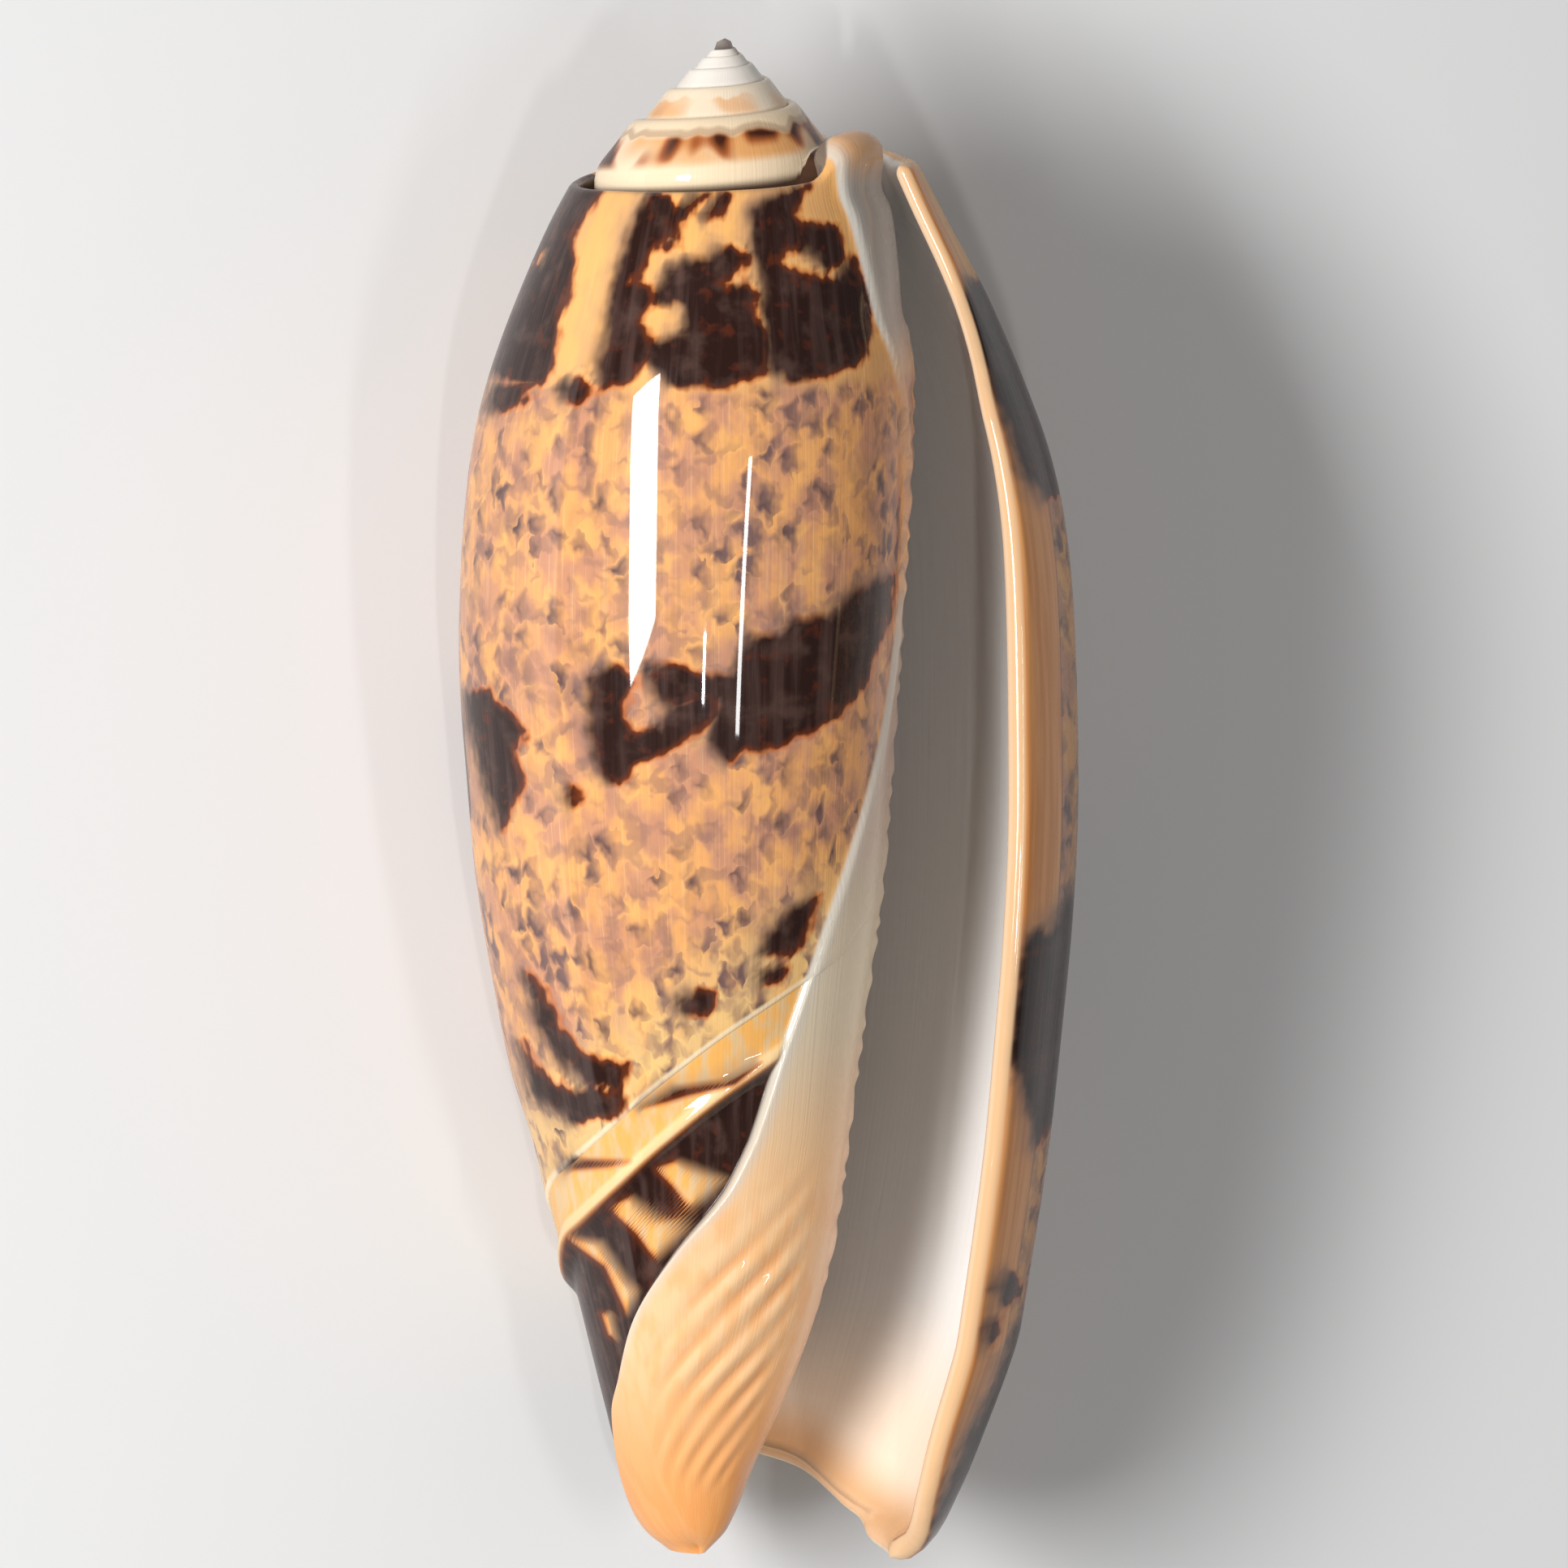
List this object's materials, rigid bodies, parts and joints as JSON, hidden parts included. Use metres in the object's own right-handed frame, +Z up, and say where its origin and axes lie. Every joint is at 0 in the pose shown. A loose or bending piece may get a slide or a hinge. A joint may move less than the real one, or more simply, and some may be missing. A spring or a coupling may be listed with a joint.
{
  "type": "olive shell",
  "caption": "Glossy olive shell lying on its back with the long aperture up, cream-orange with dark brown blotches, short stepped spire and folded columella.",
  "frame": {"origin": "centre of the footprint's bounding box, on the resting plane", "axes": "+Z up out of the aperture, +Y along the shell towards the spire, +X towards the outer lip"},
  "size_m": [0.0342, 0.086, 0.031],
  "materials": {
    "shell": "gloss"
  },
  "bodies": {
    "root": {"shell": "shell"}
  },
  "joints": []
}
